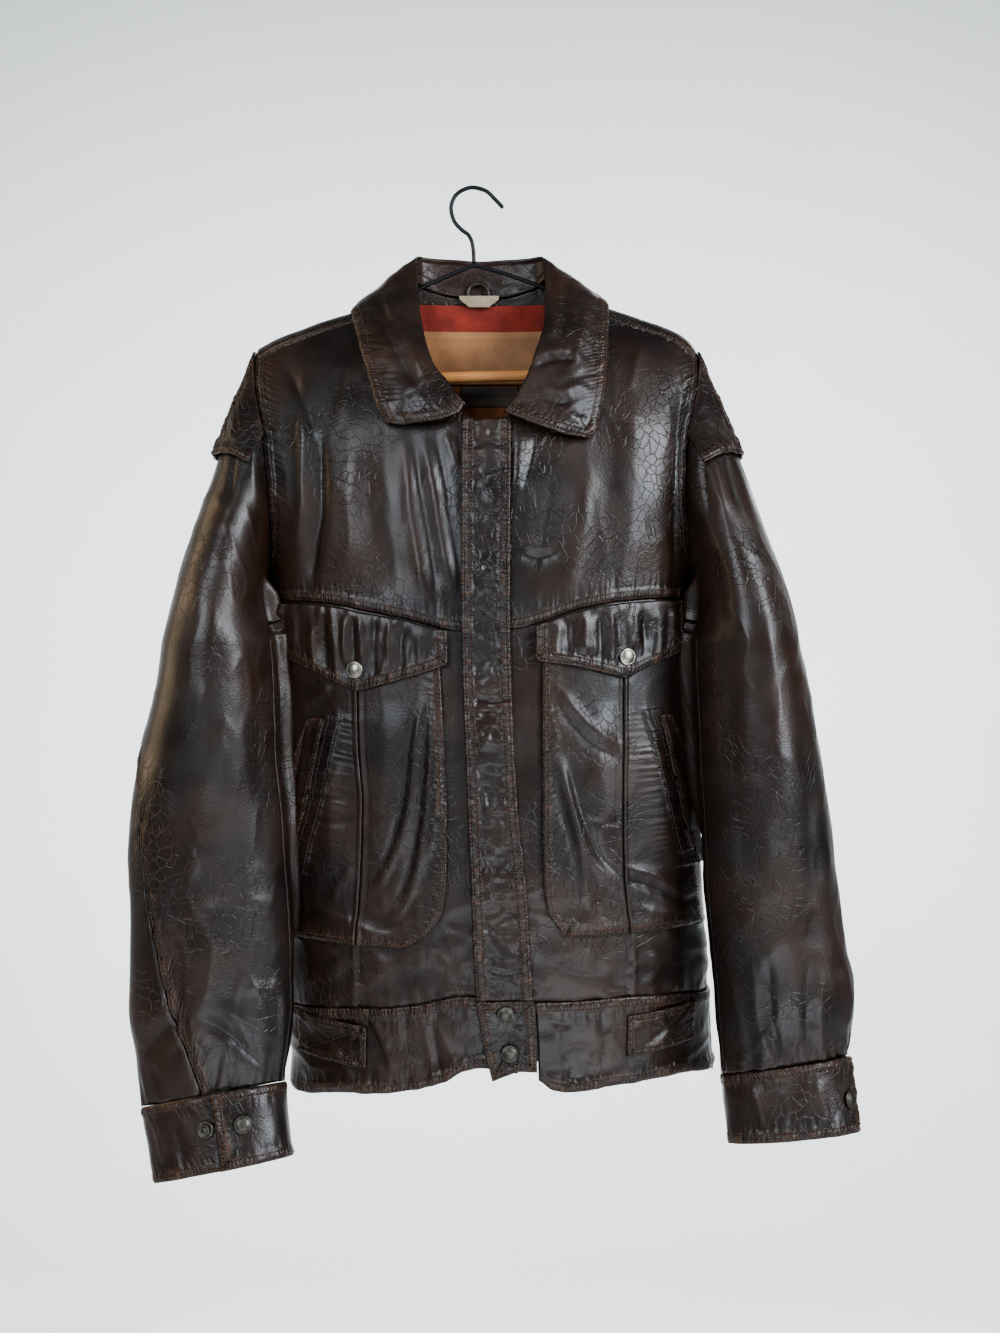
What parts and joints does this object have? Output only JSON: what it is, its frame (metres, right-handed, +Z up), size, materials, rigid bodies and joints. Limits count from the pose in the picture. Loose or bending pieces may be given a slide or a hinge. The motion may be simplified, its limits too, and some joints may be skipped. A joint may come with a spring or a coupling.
{
  "type": "leather jacket on a coat hanger",
  "caption": "Worn leather jacket hanging closed on a wire coat hanger with a wooden bar: fold-over collar, shoulder yoke, flap pockets, snap placket, waistband and cuffs.",
  "frame": {"origin": "inner top of the hanger's hook, where it hangs on a rail", "axes": "+Z up, the front faces -Y, +X is the wearer's left side"},
  "size_m": [0.6373, 0.1684, 0.9021],
  "materials": {
    "leather": "worn satin, fine pebble grain, creased",
    "metal": "dull antique",
    "wire": "black, satin",
    "wood": "varnished",
    "red_cloth": "matt woven",
    "orange_cloth": "matt quilted",
    "tan_patch": "matt",
    "label": "matt woven"
  },
  "bodies": {
    "root": {"back_panel": "leather", "back_yoke": "leather", "cap_back_l": "leather", "cap_back_r": "leather", "cap_front_l": "leather", "cap_front_r": "leather", "collar_fall": "leather", "collar_stand": "leather", "cuff_l": "leather", "cuff_r": "leather", "flap_l": "leather", "flap_r": "leather", "front_lower_l": "leather", "front_lower_r": "leather", "front_upper_l": "leather", "front_upper_r": "leather", "hang_loop": "leather", "hanger_bar": "wood", "hanger_frame": "wire", "hanger_hook": "wire", "lining_lower": "orange_cloth", "lining_red": "red_cloth", "lower_patch": "tan_patch", "neck_patch": "tan_patch", "placket": "leather", "placket_tab": "leather", "pocket_inner_l": "leather", "pocket_inner_r": "leather", "pocket_outer_l": "leather", "pocket_outer_r": "leather", "size_label": "label", "sleeve_back_l": "leather", "sleeve_back_r": "leather", "sleeve_front_l": "leather", "sleeve_front_r": "leather", "snap_cuff_l": "metal", "snap_cuff_r": "metal", "snap_flap_l": "metal", "snap_flap_r": "metal", "snap_placket_low": "metal", "snap_placket_top": "metal", "stud_cuff_r": "metal", "tab_l": "leather", "tab_r": "leather", "waistband_back": "leather", "waistband_front_l": "leather", "waistband_front_r": "leather", "welt_l": "leather", "welt_r": "leather"}
  },
  "joints": []
}
